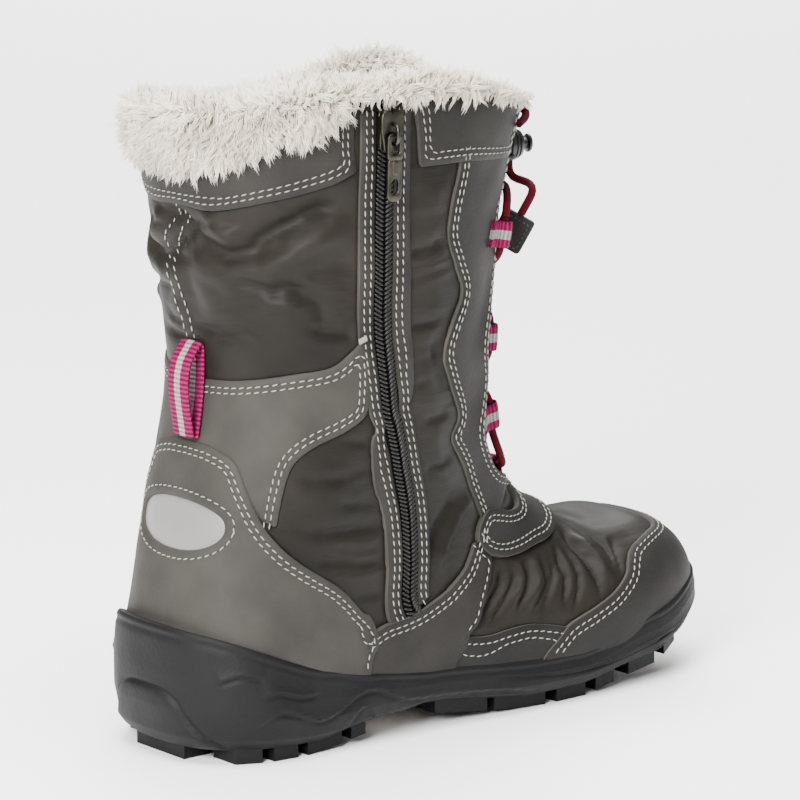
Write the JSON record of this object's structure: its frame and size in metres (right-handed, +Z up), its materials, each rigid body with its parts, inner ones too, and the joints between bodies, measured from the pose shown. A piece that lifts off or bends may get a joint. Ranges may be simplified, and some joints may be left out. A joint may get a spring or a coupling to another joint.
{
  "type": "snow boot",
  "caption": "Child's lined snow boot with a moulded lugged sole, fur cuff, side zip, webbing pull loop at the back and elastic lacing with a cord lock.",
  "frame": {"origin": "on the floor under the middle of the heel, where the heel's flat tread block rests", "axes": "+X from heel to toe, +Y to the outer (lateral) side of this left boot, +Z up the shaft"},
  "size_m": [0.2275, 0.1126, 0.2246],
  "materials": {
    "sole_rubber": "matt moulded rubber with a fine grain",
    "footbed_felt": "fleece over felt",
    "upper_leather": "smooth matt leather panels with quilted nylon between them",
    "cuff_fur": "deep pile faux fur",
    "zip_coil": "coil zip on woven tape",
    "zip_metal": "painted die cast metal",
    "pink_webbing": "ribbed woven tape with a pale stripe",
    "elastic_cord": "braided round elastic",
    "lock_plastic": "satin black plastic",
    "tab_leather": "folded and stitched leather"
  },
  "bodies": {
    "boot": {"sole": "sole_rubber", "insole": "footbed_felt", "upper": "upper_leather", "fur_cuff": "cuff_fur", "zip_chain": "zip_coil", "zip_slider": "zip_metal", "pull_loop": "pink_webbing", "lace_loop_medial_upper": "pink_webbing", "lace_loop_medial_middle": "pink_webbing", "lace_loop_medial_lower": "pink_webbing", "lace_loop_lateral_upper": "pink_webbing", "lace_loop_lateral_middle": "pink_webbing", "lace_loop_lateral_lower": "pink_webbing", "throat_loop": "pink_webbing", "lace_crossings": "elastic_cord", "lace_strand_medial": "elastic_cord", "lace_strand_tab": "elastic_cord", "lace_strand_lateral": "elastic_cord", "cord_lock": "lock_plastic", "lace_tab": "tab_leather"},
    "pull_tab": {"zip_pull": "zip_metal"},
    "lock_button": {"cord_lock_button": "lock_plastic"}
  },
  "joints": [
    {"name": "pull_tab_swing", "type": "hinge", "parent": "boot", "child": "pull_tab", "pos_m": [0.02539, -0.05343, 0.20479], "axis": [-0.9949, 0.0989, 0.02], "range_deg": [0, 150]},
    {"name": "lock_button_press", "type": "slide", "parent": "boot", "child": "lock_button", "axis": [-0.96, 0.28, 0], "range_m": [0, 0.0018], "stiffness_N_per_m": 300}
  ]
}
